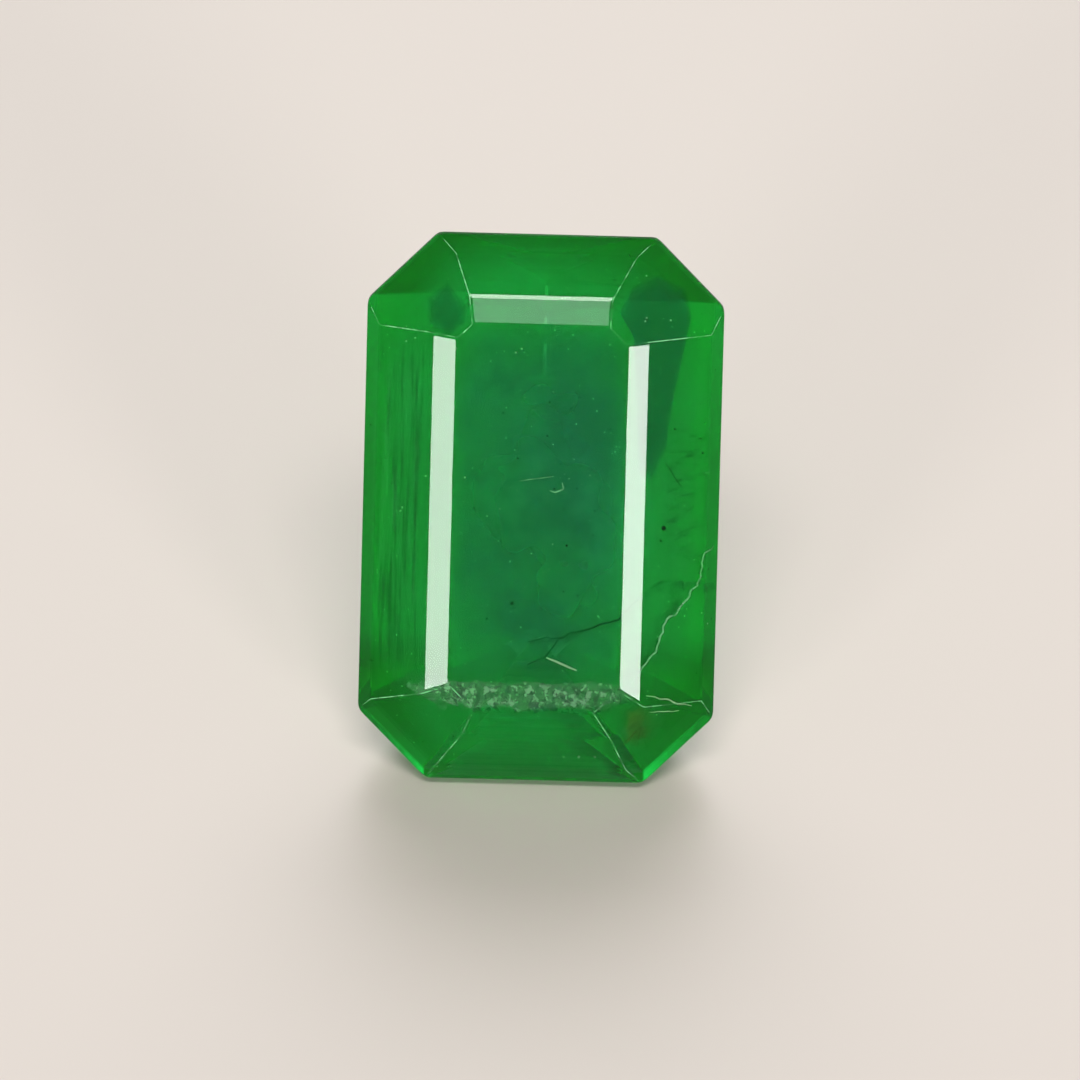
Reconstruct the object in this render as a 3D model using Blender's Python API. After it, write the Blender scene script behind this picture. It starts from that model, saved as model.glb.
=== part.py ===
"""A cut emerald: one natural stone with an octagonal step cut, leaning back on one end.

The stone's own frame has its middle at the girdle, +X to the stone's right, +Y to its
upper end and +Z out of the table. The finished stone is turned to lie on the large
pavilion facet of its lower end, so the table looks forward (-Y) and up.
"""
import math

import bmesh
import bpy
from mathutils import Matrix, Vector

MM = 0.001

# outline at the girdle, half sizes in millimetres
HALF_WIDTH = 4.00
HALF_LENGTH = 6.25
CORNER_REACH = 6.15
CORNER_ROUND = 0.38
ROUND_STEPS = 5
GIRDLE_HALF = 0.12

# degrees from one side of the octagon to the next
SIDE_TURN = 45

# heights of the crown's step lines over the girdle plane
CROWN_HEIGHTS = (GIRDLE_HALF, 0.505, 1.073, 1.247)
# reach of each step line from the middle, by direction in degrees: 0 is right, 90 the upper end
CROWN_REACH = {
    0: (HALF_WIDTH, 3.72, 2.43, 1.83),
    45: (CORNER_REACH, 5.57, 4.61, 4.15),
    90: (HALF_LENGTH, 5.876, 5.03, 4.415),
    135: (CORNER_REACH, 5.60, 4.77, 4.28),
    180: (HALF_WIDTH, 3.72, 2.57, 1.95),
    225: (CORNER_REACH, 5.73, 4.72, 4.11),
    270: (HALF_LENGTH, 5.876, 5.03, 4.415),
    315: (CORNER_REACH, 5.62, 4.75, 4.04),
}

# depths of the pavilion's step lines under the girdle band, and the facets' slopes in degrees
PAVILION_DEPTHS = (0.70, 3.90, 4.60)
SIDE_SLOPES = (62.0, 48.0, 44.0)
END_SLOPES = (64.0, 58.0, 50.0)
CORNER_SLOPES = (62.0, 50.0, 42.0)

# how far the uncut blank stands past the table and the keel
BLANK_MARGIN = 0.5

# small old chips along the girdle: place and radius of the scoop, in the stone's frame
CHIPS = (
    (4.215, 0.27, 0.06, 0.25),
    (3.665, 5.08, 0.10, 0.13),
    (0.85, -6.395, 0.17, 0.21),
)

# a facet this near to a point passes through it, and points this near to each other are joined
CUT_TOLERANCE = 1e-7
WELD_DISTANCE = 1e-5

# turning back from table up to lying on the lower end's main facet
LEAN = math.radians(END_SLOPES[1])


def slopes_for(direction: int) -> tuple:
    """Return the three pavilion slopes of one of the eight directions."""
    if direction % 90 == SIDE_TURN:
        return CORNER_SLOPES
    return SIDE_SLOPES if direction % 180 == 0 else END_SLOPES


def pavilion_reach(direction: int) -> list:
    """Return (reach, height) pairs down the pavilion for one direction."""
    reach, height, last = CROWN_REACH[direction][0], -GIRDLE_HALF, 0.0
    pairs = [(reach, height)]
    for slope, depth in zip(slopes_for(direction), PAVILION_DEPTHS):
        reach -= (depth - last) / math.tan(math.radians(slope))
        height -= depth - last
        last = depth
        pairs.append((reach, height))
    return pairs


def facet_planes() -> list:
    """Return (point, outward normal) for every facet of the crown and pavilion."""
    planes = [
        (Vector((0, 0, CROWN_HEIGHTS[-1])), Vector((0, 0, 1))),
        (Vector((0, 0, -GIRDLE_HALF - PAVILION_DEPTHS[-1])), Vector((0, 0, -1))),
    ]
    for direction, reaches in CROWN_REACH.items():
        angle = math.radians(direction)
        out = Vector((math.cos(angle), math.sin(angle), 0))
        crown = list(zip(reaches, CROWN_HEIGHTS))
        pavilion = pavilion_reach(direction)
        for (r0, z0), (r1, z1) in list(zip(crown, crown[1:])) + list(zip(pavilion, pavilion[1:])):
            rise, run = abs(z1 - z0), r0 - r1
            up = 1.0 if z1 > z0 else -1.0
            normal = (out * rise + Vector((0, 0, up * run))).normalized()
            planes.append((out * r0 + Vector((0, 0, z0)), normal))
    return planes


def outline() -> list:
    """Return the girdle's outline as points, an octagon with rounded corners."""
    reach = {d: r[0] for d, r in CROWN_REACH.items()}
    points = []
    for direction in sorted(reach):
        a0, a1 = math.radians(direction), math.radians(direction + SIDE_TURN)
        r0, r1 = reach[direction], reach[(direction + SIDE_TURN) % 360]
        det = math.cos(a0) * math.sin(a1) - math.sin(a0) * math.cos(a1)
        corner = Vector(((r0 * math.sin(a1) - r1 * math.sin(a0)) / det,
                         (r1 * math.cos(a0) - r0 * math.cos(a1)) / det))
        middle = 0.5 * (a0 + a1)
        inward = CORNER_ROUND / math.cos(math.radians(SIDE_TURN / 2))
        centre = corner - Vector((math.cos(middle), math.sin(middle))) * inward
        for k in range(ROUND_STEPS):
            turn = a0 + (a1 - a0) * k / (ROUND_STEPS - 1)
            points.append(centre + Vector((math.cos(turn), math.sin(turn))) * CORNER_ROUND)
    return points


def blank() -> bmesh.types.BMesh:
    """Return the uncut prism over the girdle's outline."""
    bm = bmesh.new()
    top = CROWN_HEIGHTS[-1] + BLANK_MARGIN
    bottom = -GIRDLE_HALF - PAVILION_DEPTHS[-1] - BLANK_MARGIN
    ring = outline()
    upper = [bm.verts.new((p.x, p.y, top)) for p in ring]
    lower = [bm.verts.new((p.x, p.y, bottom)) for p in ring]
    bm.faces.new(upper)
    bm.faces.new(list(reversed(lower)))
    count = len(ring)
    for i in range(count):
        j = (i + 1) % count
        bm.faces.new((lower[i], lower[j], upper[j], upper[i]))
    return bm


def cut(bm: bmesh.types.BMesh, point: Vector, normal: Vector) -> None:
    """Grind one flat facet: drop all outside the plane and close the face."""
    geometry = bm.verts[:] + bm.edges[:] + bm.faces[:]
    result = bmesh.ops.bisect_plane(bm, geom=geometry, dist=CUT_TOLERANCE, plane_co=point,
                                    plane_no=normal, clear_outer=True)
    rim = [e for e in result["geom_cut"] if isinstance(e, bmesh.types.BMEdge) and e.is_boundary]
    if rim:
        bmesh.ops.edgeloop_fill(bm, edges=rim)


def scoop(name: str, place: Vector, radius: float) -> bpy.types.Object:
    """Return a small round cutter that takes a chip out of the girdle."""
    bm = bmesh.new()
    bmesh.ops.create_icosphere(bm, subdivisions=2, radius=radius)
    bmesh.ops.translate(bm, verts=bm.verts, vec=place)
    mesh = bpy.data.meshes.new(name)
    bm.to_mesh(mesh)
    bm.free()
    cutter = bpy.data.objects.new(name, mesh)
    cutter.hide_render = True
    cutter.display_type = "WIRE"
    bpy.context.scene.collection.objects.link(cutter)
    return cutter


def emerald_green() -> bpy.types.Material:
    """Return the clear green of the stone."""
    material = bpy.data.materials.new("emerald_crystal")
    material.use_nodes = True
    shader = material.node_tree.nodes["Principled BSDF"]
    shader.inputs["Base Color"].default_value = (0.02, 0.36, 0.10, 1.0)
    shader.inputs["Roughness"].default_value = 0.03
    shader.inputs["IOR"].default_value = 1.58
    shader.inputs["Transmission Weight"].default_value = 1.0
    return material


def build() -> None:
    """Cut the stone, chip its girdle and lay it on its lower end."""
    for old in list(bpy.data.objects):
        bpy.data.objects.remove(old, do_unlink=True)
    bm = blank()
    for point, normal in facet_planes():
        cut(bm, point, normal)
    bmesh.ops.remove_doubles(bm, verts=bm.verts, dist=WELD_DISTANCE)
    bmesh.ops.recalc_face_normals(bm, faces=bm.faces)
    lean = Matrix.Rotation(LEAN, 4, "X")
    bm.transform(lean)
    xs = [v.co.x for v in bm.verts]
    ys = [v.co.y for v in bm.verts]
    zs = [v.co.z for v in bm.verts]
    shift = Vector((-(min(xs) + max(xs)) / 2, -(min(ys) + max(ys)) / 2, -min(zs)))
    bm.transform(Matrix.Translation(shift))
    bm.transform(Matrix.Scale(MM, 4))
    mesh = bpy.data.meshes.new("emerald")
    bm.to_mesh(mesh)
    bm.free()
    stone = bpy.data.objects.new("emerald", mesh)
    bpy.context.scene.collection.objects.link(stone)
    mesh.materials.append(emerald_green())
    for number, (x, y, z, radius) in enumerate(CHIPS, 1):
        place = (lean @ Vector((x, y, z)) + shift) * MM
        cutter = scoop(f"chip_cutter_{number}", place, radius * MM)
        chip = stone.modifiers.new(f"chip_{number}", "BOOLEAN")
        chip.operation = "DIFFERENCE"
        chip.solver = "EXACT"
        chip.object = cutter


build()
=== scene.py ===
import logging
import math
from dataclasses import dataclass, field
from enum import Enum
from itertools import combinations

import bpy
import numpy as np
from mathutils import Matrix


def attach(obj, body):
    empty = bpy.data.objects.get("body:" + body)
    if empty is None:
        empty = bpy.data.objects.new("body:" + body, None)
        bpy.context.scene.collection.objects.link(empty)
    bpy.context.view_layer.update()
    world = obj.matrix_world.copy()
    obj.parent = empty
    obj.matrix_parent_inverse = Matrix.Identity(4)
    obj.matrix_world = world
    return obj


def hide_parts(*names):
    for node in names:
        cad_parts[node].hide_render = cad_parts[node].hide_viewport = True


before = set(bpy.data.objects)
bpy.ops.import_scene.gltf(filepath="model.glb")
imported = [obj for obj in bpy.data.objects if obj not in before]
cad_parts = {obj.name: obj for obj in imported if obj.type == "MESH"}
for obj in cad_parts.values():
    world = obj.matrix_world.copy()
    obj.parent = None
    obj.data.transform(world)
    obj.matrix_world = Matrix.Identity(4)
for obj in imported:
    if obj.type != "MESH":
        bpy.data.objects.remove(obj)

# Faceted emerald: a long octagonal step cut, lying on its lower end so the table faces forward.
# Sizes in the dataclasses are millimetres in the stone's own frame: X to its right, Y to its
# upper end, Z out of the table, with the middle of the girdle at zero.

MM = 0.001
NODE = "emerald"
PAVILION = "pavilion"
FADE = "fade"
SEARCH_REACH = 0.06
LOG = logging.getLogger("emerald")


class Side(Enum):
    """The eight directions that the steps are cut in, in degrees from the stone's right."""

    RIGHT = 0
    UPPER_RIGHT = 45
    UPPER = 90
    UPPER_LEFT = 135
    LEFT = 180
    LOWER_LEFT = 225
    LOWER = 270
    LOWER_RIGHT = 315


@dataclass(frozen=True)
class StepCut:
    """Sizes of the whole cut: girdle outline, crown steps and pavilion steps."""

    girdle_half: float = 0.12
    corner_round: float = 0.38
    round_facets: int = 8
    crown_heights: tuple[float, ...] = (0.12, 0.505, 1.073, 1.247)
    crown_reach: dict[Side, tuple[float, ...]] = field(default_factory=lambda: {
        Side.RIGHT: (4.00, 3.72, 2.43, 1.83),
        Side.UPPER_RIGHT: (6.15, 5.57, 4.61, 4.15),
        Side.UPPER: (6.25, 5.876, 5.03, 4.415),
        Side.UPPER_LEFT: (6.15, 5.60, 4.77, 4.28),
        Side.LEFT: (4.00, 3.72, 2.57, 1.95),
        Side.LOWER_LEFT: (6.15, 5.73, 4.72, 4.11),
        Side.LOWER: (6.25, 5.876, 5.03, 4.415),
        Side.LOWER_RIGHT: (6.15, 5.62, 4.75, 4.04),
    })
    pavilion_depths: tuple[float, ...] = (0.70, 3.90, 4.60)
    side_slopes: tuple[float, ...] = (62.0, 48.0, 44.0)
    end_slopes: tuple[float, ...] = (64.0, 58.0, 50.0)
    corner_slopes: tuple[float, ...] = (62.0, 50.0, 42.0)
    worn_edge: float = 0.007

    def slopes(self, side: Side) -> tuple[float, ...]:
        """Return the pavilion slopes in degrees for one side."""
        if side.value % 90 == 45:
            return self.corner_slopes
        return self.side_slopes if side.value % 180 == 0 else self.end_slopes

    def profile(self, side: Side) -> list[tuple[float, float]]:
        """Return the (reach, height) points of one side, from the table down to the keel."""
        crown = list(zip(self.crown_reach[side], self.crown_heights))[::-1]
        reach, height, last = crown[-1][0], -self.girdle_half, 0.0
        points = crown + [(reach, height)]
        for slope, depth in zip(self.slopes(side), self.pavilion_depths):
            reach -= (depth - last) / math.tan(math.radians(slope))
            height -= depth - last
            last = depth
            points.append((reach, height))
        return points

    def corner(self, side: Side, level: int) -> np.ndarray:
        """Return where the step line of one side meets the next side's, turning leftwards.

        Args:
            side: The side.
            level: Number of the step line, 0 at the girdle and 3 at the table.

        Returns:
            The point across the stone, as (x, y).
        """
        after = Side((side.value + 45) % 360)
        angles = np.radians([side.value, after.value])
        rows = np.stack([np.cos(angles), np.sin(angles)], axis=1)
        return np.linalg.solve(rows, [self.crown_reach[side][level], self.crown_reach[after][level]])

    def lean(self) -> float:
        """Return the angle that the stone leans back by, lying on its lower end."""
        return math.radians(self.end_slopes[1])


class HalfSpaces:
    """A solid held between flat planes, each given by a normal and a distance."""

    def __init__(self, normals: np.ndarray, distances: np.ndarray, seeds: np.ndarray | None = None) -> None:
        """Keep the planes with unit normals.

        Args:
            normals: One outward direction per row.
            distances: Distance of each plane from the origin.
            seeds: Points near which all corners lie, where they are known.
        """
        self.seeds = seeds
        length = np.linalg.norm(normals, axis=1)
        self.normals = normals / length[:, None]
        self.distances = distances / length

    def meetings(self, near: np.ndarray) -> np.ndarray:
        """Return the points where three of the planes numbered in near meet inside the solid."""
        first, second, third = np.array(list(combinations(near, 3))).T
        rows = np.stack([self.normals[first], self.normals[second], self.normals[third]], axis=1)
        sides = np.stack([self.distances[first], self.distances[second], self.distances[third]], axis=1)
        firm = np.abs(np.linalg.det(rows)) > 1e-7
        points = np.linalg.solve(rows[firm], sides[firm][..., None])[..., 0]
        return points[(points @ self.normals.T - self.distances < 2e-7).all(axis=1)]

    def corners(self) -> np.ndarray:
        """Return the solid's corners: every meeting of three planes that no plane cuts off."""
        if self.seeds is None:
            found = [self.meetings(np.arange(len(self.normals)))]
        else:
            gaps = self.distances - self.seeds @ self.normals.T
            found = [self.meetings(np.flatnonzero(row < SEARCH_REACH)) for row in gaps]
        corners = np.concatenate(found)
        _, keep = np.unique(np.round(corners, 5), axis=0, return_index=True)
        return corners[keep]

    def polygons(self) -> tuple[np.ndarray, list[np.ndarray], list[int]]:
        """Return corners, each face's corner numbers in order, and each face's plane number."""
        corners = self.corners()
        touching = np.abs(corners @ self.normals.T - self.distances) < 1.2e-5
        faces, owners = [], []
        for plane in range(len(self.normals)):
            ring = np.flatnonzero(touching[:, plane])
            if len(ring) < 3:
                continue
            normal = self.normals[plane]
            across = np.cross(normal, [0.31, 0.52, 0.79])
            across /= np.linalg.norm(across)
            up = np.cross(normal, across)
            spread = corners[ring] - corners[ring].mean(axis=0)
            faces.append(ring[np.argsort(np.arctan2(spread @ up, spread @ across))])
            owners.append(plane)
        return corners, faces, owners

    def reach_from(self, centre: np.ndarray, arrows: np.ndarray) -> np.ndarray:
        """Return how far each arrow from centre runs before it meets the solid's skin."""
        speed = arrows @ self.normals.T
        gap = self.distances - centre @ self.normals.T
        with np.errstate(divide="ignore"):
            return np.where(speed > 1e-9, gap / speed, np.inf).min(axis=-1)

    def under_skin(self, flat: np.ndarray, depth: np.ndarray | float) -> np.ndarray:
        """Return points at a depth under the upper skin.

        Args:
            flat: Places across the stone, as (x, y) in the last axis.
            depth: Depth straight under the skin.

        Returns:
            The points as (x, y, z).
        """
        upper = self.normals[:, 2] > 1e-6
        slope, offset = self.normals[upper], self.distances[upper]
        height = ((offset - flat @ slope[:, :2].T) / slope[:, 2]).min(axis=-1)
        return np.concatenate([flat, (height - depth)[..., None]], axis=-1)

    def with_worn_edges(self, width: float, least_turn: float) -> "HalfSpaces":
        """Return the solid with a narrow flat on each edge, halfway between its two facets.

        Args:
            width: How far each edge is worn back.
            least_turn: Smallest angle between two facets, in degrees, that gets a flat.

        Returns:
            The solid with one more plane for each edge worn.
        """
        corners, faces, owners = self.polygons()
        sides: dict[tuple[int, int], list[int]] = {}
        for ring, owner in zip(faces, owners):
            for start, end in zip(ring, np.roll(ring, -1)):
                sides.setdefault((min(start, end), max(start, end)), []).append(owner)
        normals, distances = [self.normals], [self.distances]
        limit = math.cos(math.radians(least_turn))
        for (start, _), pair in sides.items():
            if len(pair) == 2 and self.normals[pair[0]] @ self.normals[pair[1]] < limit:
                middle = self.normals[pair[0]] + self.normals[pair[1]]
                middle = middle / np.linalg.norm(middle)
                normals.append(middle[None])
                distances.append(np.array([middle @ corners[start] - width]))
        return HalfSpaces(np.concatenate(normals), np.concatenate(distances), corners)


class Placement:
    """Carries points from the stone's own frame to where the stone lies."""

    def __init__(self, cut: StepCut, corners: np.ndarray) -> None:
        """Work out the turn and the shift.

        Args:
            cut: Sizes of the cut, for the lean.
            corners: The stone's corners in its own frame.
        """
        cosine, sine = math.cos(cut.lean()), math.sin(cut.lean())
        self.turn = np.array([[1, 0, 0], [0, cosine, -sine], [0, sine, cosine]])
        laid = corners @ self.turn.T
        low, high = laid.min(axis=0), laid.max(axis=0)
        self.shift = np.array([-(low[0] + high[0]) / 2, -(low[1] + high[1]) / 2, -low[2]])

    def point(self, points: np.ndarray) -> np.ndarray:
        """Return points in metres where the stone lies."""
        return (np.asarray(points, dtype=float) @ self.turn.T + self.shift) * MM

    def direction(self, arrow: np.ndarray) -> np.ndarray:
        """Return a direction as it points after the turn."""
        return np.asarray(arrow, dtype=float) @ self.turn.T


class Graph:
    """Adds shader nodes to one material."""

    def __init__(self, name: str) -> None:
        """Start an empty material called name."""
        self.material = bpy.data.materials.new(name)
        self.material.use_nodes = True
        self.tree = self.material.node_tree
        self.tree.nodes.clear()

    def node(self, kind: str, settings: dict | None = None, inputs: dict | None = None) -> bpy.types.Node:
        """Add one node.

        Args:
            kind: Node type.
            settings: Attribute values.
            inputs: Values or wires by input name or number.

        Returns:
            The node.
        """
        made = self.tree.nodes.new(kind)
        for key, value in (settings or {}).items():
            setattr(made, key, value)
        for key, value in (inputs or {}).items():
            if isinstance(value, Wire):
                self.tree.links.new(value.socket, made.inputs[key])
            elif isinstance(value, bpy.types.NodeSocket):
                self.tree.links.new(value, made.inputs[key])
            else:
                made.inputs[key].default_value = value
        return made


class Wire:
    """A value travelling between shader nodes, with arithmetic."""

    def __init__(self, graph: Graph, socket: bpy.types.NodeSocket) -> None:
        """Hold one output socket."""
        self.graph = graph
        self.socket = socket

    def _math(self, operation: str, *values: object) -> "Wire":
        """Return the result of one Math node."""
        inputs = dict(enumerate(values))
        return Wire(self.graph, self.graph.node("ShaderNodeMath", {"operation": operation}, inputs).outputs[0])

    def __add__(self, other: object) -> "Wire":
        """Return self + other."""
        return self._math("ADD", self, other)

    def __radd__(self, other: object) -> "Wire":
        """Return other + self."""
        return self._math("ADD", other, self)

    def __sub__(self, other: object) -> "Wire":
        """Return self - other."""
        return self._math("SUBTRACT", self, other)

    def __rsub__(self, other: object) -> "Wire":
        """Return other - self."""
        return self._math("SUBTRACT", other, self)

    def __mul__(self, other: object) -> "Wire":
        """Return self * other."""
        return self._math("MULTIPLY", self, other)

    def __rmul__(self, other: object) -> "Wire":
        """Return other * self."""
        return self._math("MULTIPLY", other, self)

    def __pow__(self, other: object) -> "Wire":
        """Return self raised to other."""
        return self._math("POWER", self, other)

    def at_least(self, other: object) -> "Wire":
        """Return the larger of self and other."""
        return self._math("MAXIMUM", self, other)

    def at_most(self, other: object) -> "Wire":
        """Return the smaller of self and other."""
        return self._math("MINIMUM", self, other)

    def ramp(self, low: float, high: float) -> "Wire":
        """Return 0 under low and 1 over high, with a smooth rise between."""
        node = self.graph.node("ShaderNodeMapRange", {"interpolation_type": "SMOOTHSTEP"}, {
            "Value": self, "From Min": low, "From Max": high})
        return Wire(self.graph, node.outputs["Result"])


@dataclass(frozen=True)
class ClearGreen:
    """The stone's clear crystal: how it bends light and what it takes out of it."""

    ior: float = 1.58
    table_roughness: float = 0.0
    pavilion_roughness: float = 0.28
    tint: tuple[float, float, float] = (0.0, 0.918, 0.48)
    density: float = 800.0

    def material(self) -> bpy.types.Material:
        """Return a see-through material with plain absorption."""
        graph = Graph("emerald_crystal")
        ground = Wire(graph, graph.node("ShaderNodeAttribute", {"attribute_name": PAVILION}).outputs["Fac"])
        roughness = ground * (self.pavilion_roughness - self.table_roughness) + self.table_roughness
        surface = graph.node("ShaderNodeBsdfPrincipled", inputs={
            "Base Color": (1.0, 1.0, 1.0, 1.0), "Roughness": roughness,
            "IOR": self.ior, "Transmission Weight": 1.0})
        volume = graph.node("ShaderNodeVolumeAbsorption", inputs={
            "Color": (*self.tint, 1.0), "Density": self.density})
        graph.node("ShaderNodeOutputMaterial", inputs={
            "Surface": surface.outputs["BSDF"], "Volume": volume.outputs["Volume"]})
        return graph.material


@dataclass(frozen=True)
class Haze:
    """The look of a veil: a cloud of fine fluid drops that is dense in some places and clear in others; also used for
    painted shade and painted highlight.
    """

    name: str
    colour: tuple[float, float, float]
    thickness: float
    least: float = 0.2
    grain: float = 0.6
    stretch: tuple[float, float, float] = (1.0, 1.0, 1.0)
    low: float = 0.35
    high: float = 0.70
    detail: float = 5.0
    roughness: float = 0.8
    seed: float = 0.0

    def material(self) -> bpy.types.Material:
        """Return a cloudy material that is denser in patches and fades to the veil's rim."""
        graph = Graph(self.name)
        place = graph.node("ShaderNodeTexCoord").outputs["Object"]
        laid = graph.node("ShaderNodeMapping", inputs={
            "Vector": place, "Location": (self.seed, self.seed * 0.7, -self.seed),
            "Scale": tuple(k * self.grain / MM for k in self.stretch)})
        noise = Wire(graph, graph.node("ShaderNodeTexNoise", inputs={
            "Vector": laid.outputs["Vector"], "Scale": 1.0, "Detail": self.detail,
            "Roughness": 0.62}).outputs["Fac"])
        fade = Wire(graph, graph.node("ShaderNodeAttribute", {"attribute_name": FADE}).outputs["Fac"])
        patches = noise.ramp(self.low, self.high) * (1.0 - self.least) + self.least
        surface = graph.node("ShaderNodeBsdfPrincipled", inputs={
            "Base Color": (*self.colour, 1.0), "Roughness": self.roughness,
            "Specular IOR Level": 0.0, "Alpha": patches * fade * self.thickness})
        graph.node("ShaderNodeOutputMaterial", inputs={"Surface": surface.outputs["BSDF"]})
        return graph.material


@dataclass(frozen=True)
class Veil:
    """A thin curved sheet inside the stone, given in the stone's own frame."""

    name: str
    centre: tuple[float, float, float]
    along: tuple[float, float, float]
    across: tuple[float, float, float]
    sizes: tuple[float, float]
    haze: Haze
    wave: float = 0.05
    waves: float = 1.6
    margin: float = 0.93
    fade_power: float = 1.5

    def build(self, solid: HalfSpaces, placement: Placement) -> bpy.types.Object:
        """Make the sheet.

        The sheet is a disc of rings and spokes. A point at ring r and spoke angle t lies at
        the centre plus r times the spoke's length along the spoke, where the length is the
        smaller of the ellipse's and the way to the stone's skin. It is lifted off the disc by
        the product of two slow waves, which falls to nothing at the rim.

        Args:
            solid: The stone, which the sheet stays inside.
            placement: Carries the sheet to where the stone lies.

        Returns:
            The finished sheet.
        """
        rings, spokes = 28, 96
        first = np.array(self.along) / np.linalg.norm(self.along)
        normal = np.cross(first, self.across)
        normal /= np.linalg.norm(normal)
        second = np.cross(normal, first)
        angle = np.linspace(0, 2 * np.pi, spokes, endpoint=False)
        arrow = np.cos(angle)[:, None] * first + np.sin(angle)[:, None] * second
        ellipse = 1 / np.hypot(np.cos(angle) / self.sizes[0], np.sin(angle) / self.sizes[1])
        centre = np.array(self.centre)
        length = np.minimum(ellipse, solid.reach_from(centre, arrow) * self.margin)
        ring = np.linspace(0, 1, rings + 1)[1:]
        flat = ring[:, None, None] * length[None, :, None] * arrow[None]
        u, v = flat @ first, flat @ second
        lift = self.wave * np.sin(self.waves * u + 1.3) * np.cos(self.waves * 0.8 * v + 0.4)
        points = centre + flat + (lift * (1 - ring[:, None] ** 4))[..., None] * normal
        middle = centre + self.wave * math.sin(1.3) * math.cos(0.4) * normal
        corners = np.concatenate([middle[None], points.reshape(-1, 3)])
        number = 1 + np.arange(rings * spokes).reshape(rings, spokes)
        inner, outer = number[:-1], number[1:]
        quads = np.stack([inner, outer, np.roll(outer, -1, axis=1), np.roll(inner, -1, axis=1)], axis=-1)
        fans = np.stack([np.zeros(spokes, int), number[0], np.roll(number[0], -1)], axis=-1)
        faces = fans.tolist() + quads.reshape(-1, 4).tolist()
        fade = np.concatenate([[1.0], np.repeat(1 - ring ** self.fade_power, spokes)])
        return sheet_object(self.name, placement.point(corners), faces, self.haze.material(), fade)


def sheet_object(name: str, points: np.ndarray, faces: list[list[int]], finish: bpy.types.Material,
                 fade: np.ndarray) -> bpy.types.Object:
    """Make one smooth mesh inside the stone.

    Args:
        name: The piece's name.
        points: Its points in metres.
        faces: Point numbers of each face.
        finish: Its material.
        fade: How much of the finish shows at each point.

    Returns:
        The piece, riding on the stone.
    """
    mesh = bpy.data.meshes.new(name)
    mesh.from_pydata(points.tolist(), [], faces)
    mesh.attributes.new(FADE, "FLOAT", "POINT").data.foreach_set("value", fade.astype(np.float32))
    mesh.polygons.foreach_set("use_smooth", np.ones(len(mesh.polygons), dtype=bool))
    mesh.update()
    mesh.materials.append(finish)
    piece = bpy.data.objects.new(name, mesh)
    bpy.context.scene.collection.objects.link(piece)
    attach(piece, "root")
    return piece


class CloudsAndTableReflection:
    """The soft milky veils that fill the stone and hide its lower facets; the one under the table is tinted blue as a
    painted reflection.
    """

    # Partly painted reflection: the table veil's bluish colour stands in for the bluish sheen of the surroundings
    # reflected off the table.
    TABLE_HAZE_AND_REFLECTION = Haze("table_haze_and_reflection", (0.20, 0.50, 0.92), 0.24, least=0.25, grain=0.36, detail=3.0, seed=3.1)
    CORE_HAZE = Haze("core_haze", (0.34, 0.95, 0.52), 0.56, least=0.6, grain=0.4, detail=2.0, seed=8.4)

    END_HAZE = Haze("end_haze", (0.06, 0.85, 0.24), 0.50, least=0.6, grain=0.4, detail=2.0, seed=5.7)
    KEEL_HAZE = Haze("keel_haze", (0.34, 0.95, 0.52), 0.85, least=0.9, grain=0.5, detail=2.0, seed=9.2)

    def veils(self) -> list[Veil]:
        """Return the veils, from just under the table down into the pavilion."""
        return [
            # Milky cloud under the table, tinted blue as painted reflection.
            Veil("table_veil", (0.0, 0.0, 0.55), (1, 0, 0.02), (0, 1, 0.03), (2.6, 5.2), self.TABLE_HAZE_AND_REFLECTION),
            Veil("core_veil_1", (0.0, 0.0, -0.15), (1, 0, 0.02), (0, 1, -0.02), (4.2, 6.4), self.CORE_HAZE),
            Veil("core_veil_2", (0.0, -0.2, -1.0), (1, 0, -0.04), (0, 1, 0.02), (4.2, 6.4), self.CORE_HAZE),
            Veil("core_veil_3", (0.0, 0.1, -1.9), (1, 0, 0.05), (0, 1, 0.03), (4.2, 6.4), self.CORE_HAZE),
            Veil("core_veil_4", (0.0, 0.0, -2.9), (1, 0, -0.03), (0, 1, -0.03), (4.2, 6.4), self.CORE_HAZE),
            Veil("keel_veil", (0.0, 0.0, -3.7), (1, 0, 0.03), (0, 1, 0.02), (4.2, 6.4), self.KEEL_HAZE, wave=0.04),
            Veil("upper_veil", (0.0, 4.9, 0.15), (1, 0, 0.02), (0, 1, -0.45), (3.0, 1.6), self.END_HAZE, wave=0.03),
            Veil("lower_veil", (0.0, -4.9, 0.15), (1, 0, 0.02), (0, 1, 0.45), (3.0, 1.6), self.END_HAZE, wave=0.03),
        ]

    def build(self, solid: HalfSpaces, placement: Placement) -> None:
        """Build every veil inside the stone."""
        for veil in self.veils():
            veil.build(solid, placement)
        LOG.info("clouds: %d veils", len(self.veils()))


def even_line(corners: np.ndarray, count: int, shake: float, seed: int) -> np.ndarray:
    """Return points spaced evenly along a broken line, with a little sideways wander.

    Args:
        corners: The line's corners as (x, y).
        count: How many points.
        shake: Size of the wander, which is nothing at both ends.
        seed: Picks the wander.

    Returns:
        The points as (x, y).
    """
    run = np.concatenate([[0.0], np.cumsum(np.linalg.norm(np.diff(corners, axis=0), axis=1))])
    at = np.linspace(0, run[-1], count)
    line = np.stack([np.interp(at, run, corners[:, k]) for k in range(2)], axis=1)
    random = np.random.default_rng(seed)
    wander = random.normal(0, shake, (count, 2))
    smooth = (np.roll(wander, 1, axis=0) + 2 * wander + np.roll(wander, -1, axis=0)) / 4
    return line + smooth * np.sin(np.linspace(0, np.pi, count))[:, None] ** 0.3


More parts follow.
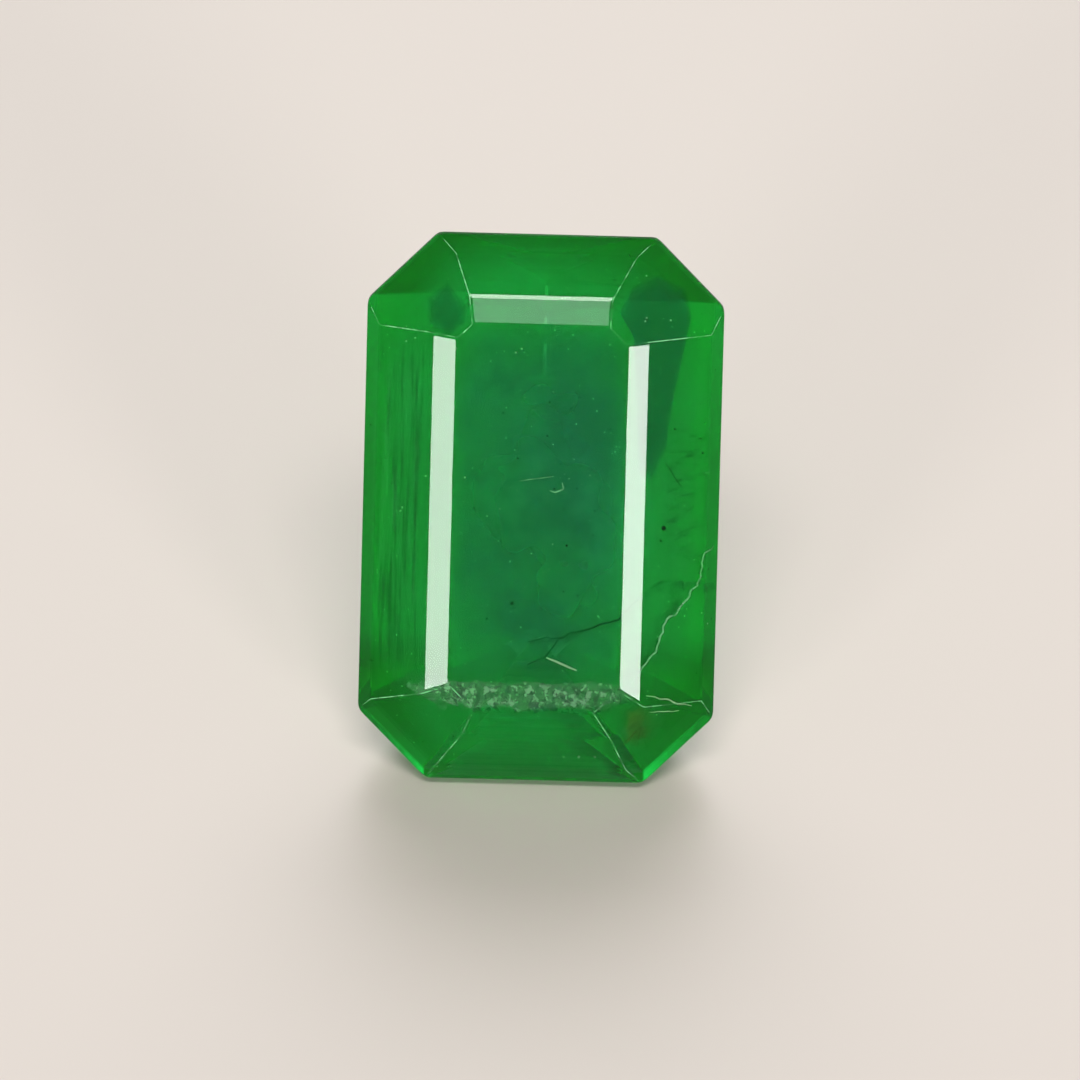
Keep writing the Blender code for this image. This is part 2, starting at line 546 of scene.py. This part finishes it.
@dataclass(frozen=True)
class Thread:
    """A hair-thin line at or under the upper skin: a crack's edge, a needle, or a worn ridge that also carries painted
    highlight.
    """

    name: str
    corners: tuple[tuple[float, float], ...]
    half_width: float
    haze: Haze
    depth: float = 0.03
    shake: float = 0.0
    seed: int = 1

    def build(self, solid: HalfSpaces, placement: Placement) -> bpy.types.Object:
        """Make the thread.

        A section of six points runs along the line. It is an ellipse, half as high as it is
        wide, and its size is that of the line times a half wave, so both ends are fine.

        Args:
            solid: The stone, whose skin the thread follows.
            placement: Carries the thread to where the stone lies.

        Returns:
            The finished thread.
        """
        corners = np.array(self.corners)
        count = max(12, int(np.linalg.norm(np.diff(corners, axis=0), axis=1).sum() / 0.06))
        line = solid.under_skin(even_line(corners, count, self.shake, self.seed), self.depth)
        along = np.gradient(line, axis=0)
        along /= np.linalg.norm(along, axis=1)[:, None]
        side = np.cross(along, [0, 0, 1.0])
        side /= np.linalg.norm(side, axis=1)[:, None]
        lift = np.cross(side, along)
        turn = np.linspace(0, 2 * np.pi, 6, endpoint=False)
        size = self.half_width * (0.25 + 0.75 * np.sin(np.linspace(0.02, 0.98, count) * np.pi) ** 0.5)
        section = (np.cos(turn)[None, :, None] * side[:, None] + 0.5 * np.sin(turn)[None, :, None] * lift[:, None])
        points = line[:, None] + size[:, None, None] * section
        number = np.arange(count * 6).reshape(count, 6)
        first, last = number[:-1], number[1:]
        quads = np.stack([first, np.roll(first, -1, axis=1), np.roll(last, -1, axis=1), last], axis=-1)
        faces = quads.reshape(-1, 4).tolist() + [number[0][::-1].tolist(), number[-1].tolist()]
        return sheet_object(self.name, placement.point(points.reshape(-1, 3)), faces,
                            self.haze.material(), np.ones(count * 6))


@dataclass(frozen=True)
class Feather:
    """A crack that runs down from a line near the skin, ragged and fading at its lower rim."""

    name: str
    corners: tuple[tuple[float, float], ...]
    drop: tuple[float, float, float]
    haze: Haze
    depth: float = 0.03
    shake: float = 0.02
    seed: int = 1

    def build(self, solid: HalfSpaces, placement: Placement) -> bpy.types.Object:
        """Make the crack.

        A point at s along the line and t down the crack lies at the line's point plus t times
        the drop, times a ragged length for that s, and it bulges sideways by a half wave in t.

        Args:
            solid: The stone, whose skin the crack starts under.
            placement: Carries the crack to where the stone lies.

        Returns:
            The finished crack.
        """
        columns, rows = 60, 14
        line = solid.under_skin(even_line(np.array(self.corners), columns, self.shake, self.seed), self.depth)
        random = np.random.default_rng(self.seed + 50)
        ragged = 0.75 + 0.25 * np.interp(np.linspace(0, 1, columns), np.linspace(0, 1, 9), random.uniform(-1, 1, 9))
        ragged = ragged * np.sin(np.linspace(0.06, 0.94, columns) * np.pi) ** 0.5
        down = np.linspace(0, 1, rows)
        along = np.gradient(line, axis=0)
        bulge = np.cross(along, self.drop)
        bulge /= np.linalg.norm(bulge, axis=1)[:, None] + 1e-9
        points = (line[:, None] + down[None, :, None] * ragged[:, None, None] * np.array(self.drop)
                  + 0.06 * np.sin(down * np.pi)[None, :, None] * bulge[:, None])
        number = np.arange(columns * rows).reshape(columns, rows)
        quads = np.stack([number[:-1, :-1], number[1:, :-1], number[1:, 1:], number[:-1, 1:]], axis=-1)
        fade = np.tile((1 - down ** 1.5) * np.minimum(1, down * 8 + 0.4), columns)
        return sheet_object(self.name, placement.point(points.reshape(-1, 3)), quads.reshape(-1, 4).tolist(),
                            self.haze.material(), fade)


@dataclass(frozen=True)
class Patch:
    """A flat cloud, or a sheet of painted shade, of any outline that lies a little under the upper skin."""

    name: str
    outline: tuple[tuple[float, float], ...]
    haze: Haze
    depth: float = 0.2
    hard: float = 8.0
    shake: float = 0.0
    seed: int = 1

    def build(self, solid: HalfSpaces, placement: Placement) -> bpy.types.Object:
        """Make the patch.

        A point at ring r and outline place s lies at the outline's middle plus r times the way
        from there to the outline, at the patch's depth under the skin. It fades near the rim.

        Args:
            solid: The stone, whose skin the patch follows.
            placement: Carries the patch to where the stone lies.

        Returns:
            The finished patch.
        """
        rings, spokes = 24, 120
        outline = np.array(self.outline)
        closed = np.concatenate([outline, outline[:1]])
        rim = even_line(closed, spokes + 1, self.shake, self.seed)[:-1]
        middle = outline.mean(axis=0)
        ring = np.linspace(0, 1, rings + 1)[1:]
        flat = middle + ring[:, None, None] * (rim - middle)[None]
        points = solid.under_skin(np.concatenate([middle[None], flat.reshape(-1, 2)]), self.depth)
        number = 1 + np.arange(rings * spokes).reshape(rings, spokes)
        inner, outer = number[:-1], number[1:]
        quads = np.stack([inner, outer, np.roll(outer, -1, axis=1), np.roll(inner, -1, axis=1)], axis=-1)
        fans = np.stack([np.zeros(spokes, int), number[0], np.roll(number[0], -1)], axis=-1)
        fade = np.concatenate([[1.0], np.repeat(1 - ring ** self.hard, spokes)])
        return sheet_object(self.name, placement.point(points), fans.tolist() + quads.reshape(-1, 4).tolist(),
                            self.haze.material(), fade)


@dataclass(frozen=True)
class Grains:
    """A scatter of tiny rounded crystals."""

    name: str
    places: np.ndarray
    radii: np.ndarray
    haze: Haze

    def build(self, placement: Placement) -> bpy.types.Object:
        """Make the crystals, each a small ball flattened a little along the stone's depth.

        A point at height angle a and turn b lies at the place plus the radius times
        (cos a cos b, cos a sin b, 0.7 sin a).

        Args:
            placement: Carries the crystals to where the stone lies.

        Returns:
            All the crystals as one piece.
        """
        rows, turns = 5, 8
        height = np.linspace(-np.pi / 2, np.pi / 2, rows)[:, None]
        turn = np.linspace(0, 2 * np.pi, turns, endpoint=False)[None]
        ball = np.stack([np.cos(height) * np.cos(turn), np.cos(height) * np.sin(turn),
                         0.7 * np.sin(height) * np.ones_like(turn)], axis=-1)
        points = self.places[:, None, None] + self.radii[:, None, None, None] * ball[None]
        number = np.arange(len(self.places) * rows * turns).reshape(-1, rows, turns)
        low, high = number[:, :-1], number[:, 1:]
        quads = np.stack([low, np.roll(low, -1, axis=2), np.roll(high, -1, axis=2), high], axis=-1)
        return sheet_object(self.name, placement.point(points.reshape(-1, 3)), quads.reshape(-1, 4).tolist(),
                            self.haze.material(), np.ones(points.size // 3))


class FlawsAndPaintedShade:
    """The stone's garden: cracks, needles, clouds and crystals that can be told apart, and dark sheets of painted
    shade.
    """

    PALE_LINE = Haze("pale_crack", (0.55, 0.95, 0.62), 0.75, least=0.35, grain=3.0, seed=1.0)
    WHITE_LINE = Haze("white_needle", (0.85, 0.95, 0.70), 0.9, least=0.7, grain=2.0, seed=2.0)
    DARK_LINE = Haze("dark_crack", (0.0, 0.05, 0.02), 0.75, least=0.3, grain=2.5, seed=3.0)
    DARK_SHEET = Haze("dark_feather", (0.0, 0.09, 0.035), 0.5, least=0.15, grain=1.8, seed=4.0)
    PALE_SHEET = Haze("pale_feather", (0.45, 0.90, 0.55), 0.35, least=0.1, grain=2.2, seed=5.0)
    # Painted shade: a dark green sheet laid where the stone's upper corners only look dark.
    PAINTED_SHADE = Haze("shade", (0.004, 0.13, 0.075), 0.62, least=0.8, grain=0.6, seed=6.0)
    # Painted shade: a dark bluish sheet that darkens and cools the stone seen through the table.
    TABLE_PAINTED_SHADE = Haze("table_painted_shade", (0.02, 0.15, 0.18), 0.42, least=0.45, grain=0.55, detail=3.0, seed=16.0)
    BROWN = Haze("brown_stain", (0.16, 0.17, 0.01), 0.60, least=0.25, grain=1.6, seed=7.0)
    DARK_SPECKLE = Haze("dark_speckle", (0.01, 0.14, 0.05), 0.75, least=0.0, grain=6.5, low=0.48, high=0.58, seed=8.0)
    PALE_SPECKLE = Haze("pale_speckle", (0.60, 0.92, 0.62), 0.62, least=0.22, grain=6.5, low=0.50, high=0.62, seed=9.0)
    GROWTH = Haze("growth_lines", (0.0, 0.10, 0.02), 0.62, least=0.0, grain=1.0, stretch=(9.0, 0.35, 0.35),
                  low=0.45, high=0.65, seed=10.0)
    GROWTH_LIGHT = Haze("growth_light", (0.10, 0.95, 0.22), 0.42, least=0.0, grain=1.0, stretch=(7.0, 0.25, 0.25),
                        low=0.50, high=0.70, seed=14.0)
    GROWTH_ACROSS = Haze("growth_across", (0.0, 0.12, 0.02), 0.55, least=0.0, grain=1.0, stretch=(0.3, 4.0, 7.0),
                         low=0.50, high=0.70, seed=15.0)
    DARK_GRAIN = Haze("dark_grain", (0.004, 0.03, 0.01), 0.9, least=1.0, seed=11.0)
    PALE_GRAIN = Haze("pale_grain", (0.70, 0.98, 0.72), 0.8, least=1.0, seed=12.0)

    def threads(self) -> list[Thread]:
        """Return the lines where cracks and needles reach or near the skin."""
        return [
            Thread("right_crack_line", ((3.90, -0.70), (3.68, -0.92), (3.55, -1.61), (3.11, -2.11), (2.72, -2.61),
                                        (2.67, -2.96), (2.37, -3.41), (2.12, -3.78)), 0.022, self.PALE_LINE,
                   depth=0.012, shake=0.05, seed=3),
            Thread("table_crack_line", ((-0.22, -2.82), (0.48, -2.69), (1.28, -2.44), (1.77, -2.28), (2.30, -1.74)),
                   0.020, self.DARK_LINE, depth=0.05, shake=0.03, seed=4),
            Thread("branch_line", ((0.46, -2.76), (0.21, -3.13), (-0.21, -3.35)), 0.018, self.DARK_LINE,
                   depth=0.05, shake=0.02, seed=5),
            Thread("needle", ((0.21, -3.17), (0.90, -3.45)), 0.026, self.WHITE_LINE, depth=0.04, shake=0.01),
            Thread("fine_line", ((-0.52, 0.86), (0.27, 0.99)), 0.010, self.PALE_LINE, depth=0.02, shake=0.01),
            Thread("hook", ((0.46, 0.85), (0.50, 0.70), (0.31, 0.62), (0.19, 0.66)), 0.020, self.PALE_LINE, depth=0.05),
            Thread("corner_streak_1", ((2.47, -4.03), (3.51, -4.34)), 0.016, self.WHITE_LINE, shake=0.02, seed=6),
            Thread("corner_streak_2", ((2.55, -4.42), (3.22, -4.44)), 0.014, self.WHITE_LINE, shake=0.02, seed=7),
            Thread("right_dark_line", ((2.74, 1.32), (2.92, 1.05), (3.15, 0.70)), 0.014, self.DARK_LINE, shake=0.03),
        ]

    def feathers(self) -> list[Feather]:
        """Return the cracks that run down into the stone."""
        return [
            Feather("right_crack", ((3.68, -0.92), (3.55, -1.61), (3.11, -2.11), (2.72, -2.61), (2.67, -2.96),
                                    (2.37, -3.41), (2.12, -3.78)), (-0.35, 0.55, -0.9), self.DARK_SHEET, seed=3),
            Feather("table_crack", ((-0.22, -2.82), (0.48, -2.69), (1.28, -2.44), (1.77, -2.28), (2.45, -1.60)),
                    (0.10, -0.45, -0.8), self.DARK_SHEET, seed=4),
            Feather("edge_crack", ((3.90, -1.56), (3.44, -1.47), (2.74, -1.38), (2.47, -1.54)),
                    (0.0, -0.45, -0.45), self.DARK_SHEET, depth=0.06, seed=5),
            Feather("left_feather", ((-2.98, -3.98), (-2.46, -4.18), (-2.05, -4.49)), (0.30, 0.45, -0.5),
                    self.PALE_SHEET, seed=6),
        ]

    def patches(self) -> list[Patch]:
        """Return the flat clouds under the crown, and the sheets of painted shade."""
        return [
            # Painted shade at the upper right: a dark sheet where the stone only looks dark.
            Patch("upper_right_painted_shade", ((1.90, 5.25), (2.46, 5.47), (3.11, 5.12), (3.26, 4.57), (2.90, 2.78),
                                        (2.75, 1.58), (2.45, 0.87), (2.15, 1.0), (2.05, 3.0), (1.95, 4.2),
                                        (1.60, 4.75)),
                  self.PAINTED_SHADE, depth=0.16, hard=18.0),
            # Painted shade over the whole table, under the table facet.
            Patch("table_painted_shade", ((1.83, 3.9), (1.45, 4.35), (-1.45, 4.35), (-1.95, 3.9), (-1.95, -3.8), (1.83, -3.8)),
                  self.TABLE_PAINTED_SHADE, depth=0.35, hard=12.0),
            # Painted shade at the upper left corner.
            Patch("upper_left_painted_shade", ((-1.70, 4.75), (-1.75, 4.35), (-2.10, 4.05), (-2.60, 4.25), (-2.65, 4.80),
                                       (-2.20, 5.20)), self.PAINTED_SHADE, depth=0.30, hard=4.0),
            Patch("band_dark", ((-2.30, -3.78), (2.05, -3.80), (2.25, -4.10), (1.60, -4.45), (-1.60, -4.50),
                                (-2.60, -4.25)), self.DARK_SPECKLE, depth=0.14, shake=0.05, seed=8),
            Patch("band_pale", ((-3.00, -4.00), (-2.30, -3.74), (2.05, -3.76), (2.25, -4.10), (1.60, -4.35),
                                (-1.60, -4.40), (-2.60, -4.20)), self.PALE_SPECKLE, depth=0.08, shake=0.05, seed=9),
            Patch("brown_stain", ((1.90, -4.30), (2.60, -4.20), (2.90, -4.75), (2.50, -5.30), (1.95, -5.20)),
                  self.BROWN, depth=0.12, hard=2.0, shake=0.06, seed=10),
            Patch("left_growth", ((-3.65, 3.9), (-2.65, 3.9), (-2.65, -3.7), (-3.65, -3.7)), self.GROWTH,
                  depth=0.15, hard=6.0),
            Patch("left_growth_light", ((-3.62, 3.6), (-2.70, 3.6), (-2.70, -2.6), (-3.62, -2.6)), self.GROWTH_LIGHT,
                  depth=0.10, hard=5.0),
            Patch("right_growth", ((2.75, 1.9), (3.70, 2.4), (3.70, -1.2), (2.75, -1.2)), self.GROWTH_ACROSS,
                  depth=0.15, hard=4.0),
        ]

    def grains(self, solid: HalfSpaces) -> list[Grains]:
        """Return the crystals: the ones that stand out, then a fine scatter of both kinds."""
        random = np.random.default_rng(27)
        dark = np.array([(-0.59, -1.96), (-1.15, -2.32), (2.75, -0.21), (2.69, -0.50), (2.94, 2.05), (3.58, 1.46),
                         (2.46, 2.11), (1.50, 2.08), (-0.9, 2.4), (0.1, 1.9), (-1.5, 0.2), (0.6, -0.6)])
        pale = np.array([(-2.59, 0.88), (-1.72, 0.91), (-3.14, 0.01), (-3.10, 0.09), (-0.65, 3.79), (-0.52, 3.88),
                         (-1.98, 3.86), (2.25, 4.59), (2.22, 4.52), (2.22, 5.48), (2.79, 4.51), (3.80, -2.48),
                         (0.42, 5.02), (0.50, 5.03), (0.35, 5.01), (-2.18, -5.90), (-1.90, -5.90), (0.66, -5.55),
                         (1.00, -5.54), (1.36, -5.53), (-3.1, 3.9), (-2.9, 4.0)])
        around = random.uniform((-3.7, -5.9), (3.7, 5.9), (420, 2))
        inside = (np.abs(around).sum(axis=1) < 8.2)
        around = around[inside]
        deep = random.uniform(0.02, 1.0, len(around)) ** 1.5
        dark_radii = np.concatenate([[0.045, 0.03, 0.055, 0.025], np.full(len(dark) - 4, 0.026)])
        half = len(around) // 3
        return [
            Grains("dark_crystals", solid.under_skin(dark, 0.12), dark_radii, self.DARK_GRAIN),
            Grains("pale_crystals", solid.under_skin(pale, 0.05), np.full(len(pale), 0.022), self.PALE_GRAIN),
            Grains("dark_scatter", solid.under_skin(around[:half], deep[:half] + 0.05),
                   random.uniform(0.008, 0.02, half), self.DARK_GRAIN),
            Grains("pale_scatter", solid.under_skin(around[half:], deep[half:] * 0.6 + 0.03),
                   random.uniform(0.005, 0.012, len(around) - half), self.PALE_GRAIN),
        ]

    def build(self, solid: HalfSpaces, placement: Placement) -> None:
        """Build every flaw inside the stone."""
        for flaw in [*self.threads(), *self.feathers(), *self.patches()]:
            flaw.build(solid, placement)
        for grains in self.grains(solid):
            grains.build(placement)
        LOG.info("flaws: %d lines, %d cracks, %d clouds", len(self.threads()), len(self.feathers()),
                 len(self.patches()))


@dataclass(frozen=True)
class WornRidgesAndHighlights:
    """Fine pale lines where the crown's corner facets meet their neighbours: partly wear, partly painted highlight of
    the light that the ridges catch.
    """

    half_width: float = 0.011
    # Its pale colour is partly painted highlight, brightening the ridges as light caught on them would.
    haze: Haze = Haze("worn_ridge_and_highlight", (0.40, 0.90, 0.50), 0.80, least=0.10, grain=2.6, low=0.42, high=0.62, seed=13.0)

    def build(self, cut: StepCut, solid: HalfSpaces, placement: Placement) -> None:
        """Lay one line of wear and painted highlight on each of the eight ridges, and one on each cut corner of the
        table.
        """
        for side in Side:
            points = [cut.corner(side, level) for level in range(4)]
            points[0] = 0.3 * points[1] + 0.7 * points[0]
            Thread(f"ridge_{side.value}", tuple(map(tuple, points)), self.half_width, self.haze,
                   depth=0.004).build(solid, placement)
            if side.value % 90 == 45:
                last = cut.corner(Side((side.value - 45) % 360), 3)
                Thread(f"table_edge_{side.value}", (tuple(points[3]), tuple(last)), self.half_width, self.haze,
                       depth=0.004).build(solid, placement)


class FacetedStone:
    """The stone itself: every facet flat, with finely worn edges."""

    def __init__(self, cut: StepCut, crystal: ClearGreen) -> None:
        """Cut the planes and place the stone.

        Args:
            cut: Sizes of the cut.
            crystal: The stone's clear material.
        """
        self.cut = cut
        self.crystal = crystal
        self.solid = self.planes()
        self.placement = Placement(cut, self.solid.corners())

    def girdle_planes(self) -> list[tuple[np.ndarray, float]]:
        """Return the upright planes of the girdle: eight sides and small flats round each corner."""
        found = []
        reach = {side.value: r[0] for side, r in self.cut.crown_reach.items()}
        flats = self.cut.round_facets
        for start, r0 in reach.items():
            a0, a1 = math.radians(start), math.radians(start + 45)
            r1 = reach[(start + 45) % 360]
            found.append((np.array([math.cos(a0), math.sin(a0), 0.0]), r0))
            corner = np.linalg.solve([[math.cos(a0), math.sin(a0)], [math.cos(a1), math.sin(a1)]], [r0, r1])
            middle = (a0 + a1) / 2
            back = self.cut.corner_round / math.cos(math.radians(22.5))
            centre = corner - back * np.array([math.cos(middle), math.sin(middle)])
            step = math.radians(45) / flats
            for k in range(flats):
                turn = a0 + (k + 0.5) * step
                out = np.array([math.cos(turn), math.sin(turn)])
                distance = out @ centre + self.cut.corner_round * math.cos(step / 2)
                found.append((np.array([*out, 0.0]), distance))
        return found

    def planes(self) -> HalfSpaces:
        """Return all facets as planes: table, keel, girdle, crown steps and pavilion steps."""
        top, keel = self.cut.crown_heights[-1], self.cut.girdle_half + self.cut.pavilion_depths[-1]
        found = [(np.array([0, 0, 1.0]), top), (np.array([0, 0, -1.0]), keel)] + self.girdle_planes()
        for side in Side:
            angle = math.radians(side.value)
            out = np.array([math.cos(angle), math.sin(angle), 0.0])
            points = self.cut.profile(side)
            for (r0, z0), (r1, z1) in zip(points, points[1:]):
                if abs(r0 - r1) < 1e-9:
                    continue
                normal = out * abs(z0 - z1) + np.array([0, 0, abs(r0 - r1) * (1 if z0 > 0 and r1 > r0 else -1)])
                found.append((normal, float(normal @ (out * r0 + np.array([0, 0, z0])))))
        return HalfSpaces(np.array([n for n, _ in found]), np.array([d for _, d in found]))

    def build(self) -> bpy.types.Object:
        """Return the finished stone, in place of the plain one."""
        worn = self.solid.with_worn_edges(self.cut.worn_edge, 6.5)
        corners, faces, owners = worn.polygons()
        mesh = bpy.data.meshes.new("cut_stone")
        mesh.from_pydata(self.placement.point(corners).tolist(), [], [ring.tolist() for ring in faces])
        lower = (worn.normals[owners, 2] < -0.2).astype(np.float32)
        mesh.attributes.new(PAVILION, "FLOAT", "FACE").data.foreach_set("value", lower)
        mesh.update()
        stone = bpy.data.objects.new("cut_stone", mesh)
        bpy.context.scene.collection.objects.link(stone)
        mesh.materials.append(self.crystal.material())
        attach(stone, "root")
        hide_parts(NODE)
        LOG.info("stone: %d corners, %d facets", len(corners), len(faces))
        return stone


@dataclass(frozen=True)
class SoftPanel:
    """One soft light panel, set by the direction that it is seen in from the stone."""

    name: str
    toward: tuple[float, float, float]
    distance: float
    width: float
    height: float
    radiance: float
    tint: tuple[float, float, float] = (1.0, 1.0, 1.0)

    def hang(self, aim: np.ndarray) -> bpy.types.Object:
        """Hang the panel so that it faces the stone.

        Args:
            aim: The point it faces.

        Returns:
            The light.
        """
        out = np.array(self.toward) / np.linalg.norm(self.toward)
        lamp = bpy.data.lights.new(self.name, "AREA")
        lamp.shape = "RECTANGLE"
        lamp.size, lamp.size_y = self.width, self.height
        lamp.energy = self.radiance * math.pi * self.width * self.height
        lamp.color = self.tint
        panel = bpy.data.objects.new(self.name, lamp)
        from mathutils import Vector
        panel.location = Vector(aim + out * self.distance)
        panel.rotation_euler = Vector(out).to_track_quat("Z", "Y").to_euler()
        bpy.context.scene.collection.objects.link(panel)
        return panel


class Studio:
    """Floor, soft light and camera round the stone."""

    def __init__(self, aim: np.ndarray) -> None:
        """Keep the point that lights and camera are aimed at."""
        self.aim = aim

    def floor(self) -> None:
        """Lay a plain pale floor under the stone."""
        bpy.ops.mesh.primitive_plane_add(size=3.0, location=(0, 0, 0))
        floor = bpy.context.object
        floor.name = "floor"
        graph = Graph("pale_floor")
        surface = graph.node("ShaderNodeBsdfPrincipled", inputs={
            "Base Color": (0.64, 0.568, 0.508, 1.0), "Roughness": 0.35, "IOR": 1.45})
        graph.node("ShaderNodeOutputMaterial", inputs={"Surface": surface.outputs["BSDF"]})
        floor.data.materials.append(graph.material)
        floor.visible_glossy = False

    def light(self) -> None:
        """Hang the panels and set the plain surroundings."""
        panels = (
            SoftPanel("right_panel", (0.524, -0.810, 0.261), 0.60, 0.14, 0.20, 13.0),
            SoftPanel("left_panel", (-0.510, -0.814, 0.264), 0.60, 0.14, 0.20, 10.5),
            SoftPanel("upper_panel", (0.0, -0.620, 0.783), 0.90, 0.20, 0.06, 2.8, (0.86, 0.93, 1.0)),
            SoftPanel("top_panel", (0.0, -0.326, 0.945), 0.90, 0.50, 0.24, 10.0),
            SoftPanel("back_panel", (0.0, 0.80, 0.62), 1.00, 0.90, 0.50, 4.8),
        )
        for panel in panels:
            panel.hang(self.aim)
        world = bpy.data.worlds.new("surroundings")
        bpy.context.scene.world = world
        world.use_nodes = True
        world.node_tree.nodes["Background"].inputs["Color"].default_value = (0.92, 0.96, 1.0, 1.0)
        world.node_tree.nodes["Background"].inputs["Strength"].default_value = 0.15

    def camera(self) -> None:
        """Set the camera in front of and over the stone, looking down at its table."""
        elevation, roll, distance = math.radians(44.0), math.radians(1.5), 0.40
        out = np.array([0.0, -math.cos(elevation), math.sin(elevation)])
        up = np.array([0.0, math.sin(elevation), math.cos(elevation)])
        from mathutils import Matrix, Vector
        lens = bpy.data.cameras.new("camera")
        lens.sensor_width = 36.0
        lens.lens = 36.0 * distance / (1080 / 44.5 * MM)
        lens.clip_start, lens.clip_end = 0.01, 10.0
        eye = bpy.data.objects.new("camera", lens)
        aim = self.aim - up * 0.72 * MM
        turned = Matrix.Rotation(roll, 4, Vector(out)) @ Vector(out).to_track_quat("Z", "Y").to_matrix().to_4x4()
        eye.matrix_world = Matrix.Translation(Vector(aim + out * distance)) @ turned
        bpy.context.scene.collection.objects.link(eye)
        bpy.context.scene.camera = eye


def set_light_paths() -> None:
    """Let light bounce often enough inside the stone, and show colours plainly."""
    scene = bpy.context.scene
    scene.view_settings.view_transform = "Standard"
    scene.cycles.max_bounces = 10
    scene.cycles.transmission_bounces = 10
    scene.cycles.glossy_bounces = 10
    scene.cycles.diffuse_bounces = 2
    scene.cycles.transparent_max_bounces = 16


def main() -> None:
    """Build the stone, then the studio round it."""
    logging.basicConfig(level=logging.INFO, format="%(message)s")
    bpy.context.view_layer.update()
    stone = FacetedStone(StepCut(), ClearGreen())
    stone.build()
    CloudsAndTableReflection().build(stone.solid, stone.placement)
    FlawsAndPaintedShade().build(stone.solid, stone.placement)
    WornRidgesAndHighlights().build(stone.cut, stone.solid, stone.placement)
    studio = Studio(stone.placement.point(np.zeros(3)))
    studio.floor()
    studio.light()
    studio.camera()
    set_light_paths()


if __name__ == "__main__":
    main()
